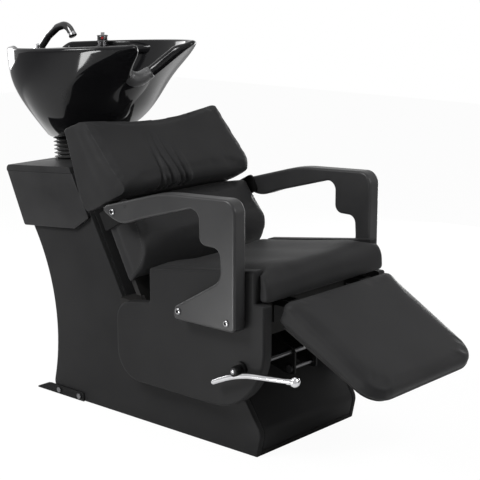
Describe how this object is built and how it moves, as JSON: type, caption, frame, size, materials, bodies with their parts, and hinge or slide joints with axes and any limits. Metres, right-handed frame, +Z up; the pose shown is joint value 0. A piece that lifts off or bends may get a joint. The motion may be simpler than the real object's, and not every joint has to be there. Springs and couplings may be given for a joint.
{
  "type": "backwash unit",
  "caption": "Salon shampoo chair with a reclined padded seat, armrests, a lifting leg rest and a tilting ceramic basin with a neck notch on the column behind it.",
  "frame": {"origin": "on the floor, under the middle of the plinth, between its sides", "axes": "+X to the sitter's left, +Y to the rear where the basin is, +Z up; the sitter faces -Y"},
  "size_m": [0.61, 1.4822, 1.0749],
  "materials": {
    "black_vinyl": "matte black upholstery vinyl over foam",
    "covered_board": "board covered in matte black vinyl",
    "shelf_laminate": "board with a satin black laminate",
    "bare_board": "board stained black",
    "arm_plastic": "satin charcoal moulded polyurethane",
    "black_ceramic": "glossy black glaze",
    "neck_rubber": "soft dark grey rubber",
    "bellows_rubber": "matte black rubber",
    "bright_chrome": "polished chrome plate",
    "black_gloss": "gloss black moulded plastic",
    "black_steel": "satin black powder coat",
    "plain_steel": "zinc plated",
    "waste_plastic": "moulded black plastic",
    "red_indicator": "gloss red"
  },
  "bodies": {
    "base": {"seat_cushion": "black_vinyl", "lumbar_cushion": "black_vinyl", "upper_back_cushion": "black_vinyl", "side_skirt_left": "covered_board", "side_skirt_right": "covered_board", "pedestal_side_left": "covered_board", "pedestal_side_right": "covered_board", "plinth_front_panel": "covered_board", "seat_ledge": "covered_board", "column_front_panel": "covered_board", "pedestal_rear_panel": "covered_board", "basin_shelf": "shelf_laminate", "shelf_cheek_left": "shelf_laminate", "shelf_cheek_right": "shelf_laminate", "shelf_rear_panel": "shelf_laminate", "plinth_floor": "bare_board", "column_cap": "bare_board", "seat_board": "bare_board", "seat_front_rail": "bare_board", "skirt_cleats": "bare_board", "back_board": "bare_board", "armrest_left": "arm_plastic", "armrest_right": "arm_plastic", "bellows": "bellows_rubber", "armrest_bolts": "bright_chrome", "back_gussets": "black_steel", "arm_brackets": "black_steel", "leg_hinge_brackets": "black_steel", "lever_flange": "black_steel", "release_brackets": "black_steel", "floor_brackets": "black_steel", "tilt_bracket": "black_steel", "leg_hinge_pins": "plain_steel", "release_tie_bolt": "plain_steel", "tilt_pins": "plain_steel", "floor_bracket_screws": "plain_steel"},
    "leg_rest": {"leg_rest_pad": "black_vinyl", "leg_rest_board": "bare_board", "leg_hinge_leaves": "black_steel"},
    "lever": {"release_lever": "bright_chrome", "lever_ball": "bright_chrome", "lever_shaft": "plain_steel"},
    "tilting_basin": {"basin": "black_ceramic", "neck_rest": "neck_rubber", "waste_strainer": "bright_chrome", "waste_tail": "waste_plastic", "tilt_saddle": "black_steel", "handset_socket": "bright_chrome", "mixer_body": "bright_chrome"},
    "mixer_top": {"mixer_cap": "black_gloss", "mixer_lever_pin": "bright_chrome", "mixer_indicator": "red_indicator"},
    "mixer_handle": {"mixer_lever": "black_gloss"},
    "hand_spray": {"handset": "black_gloss"}
  },
  "joints": [
    {"name": "leg_rest_lift", "type": "hinge", "parent": "base", "child": "leg_rest", "pos_m": [0, -0.47, 0.416], "axis": [-1, 0, 0], "range_deg": [-50, 28]},
    {"name": "release_pull", "type": "hinge", "parent": "base", "child": "lever", "pos_m": [-0.28, -0.391, 0.252], "axis": [-1, 0, 0], "range_deg": [0, 15], "stiffness_Nm_per_rad": 2, "springref_deg": -5.73},
    {"name": "basin_tilt", "type": "hinge", "parent": "base", "child": "tilting_basin", "pos_m": [0, 0.482, 0.704], "axis": [-1, 0, 0], "range_deg": [-8, 10], "deforming": ["bellows"]},
    {"name": "mixer_turn", "type": "hinge", "parent": "tilting_basin", "child": "mixer_top", "pos_m": [0.155, 0.54256, 0.99072], "axis": [0, 0.0419, 0.9991], "range_deg": [-45, 45]},
    {"name": "mixer_lift", "type": "hinge", "parent": "mixer_top", "child": "mixer_handle", "pos_m": [0.155, 0.54364, 1.01659], "axis": [0.7071, -0.7065, 0.0296], "range_deg": [0, 22]},
    {"name": "handset_pull", "type": "slide", "parent": "tilting_basin", "child": "hand_spray", "axis": [0, -0.7022, 0.712], "range_m": [0, 0.09]}
  ]
}
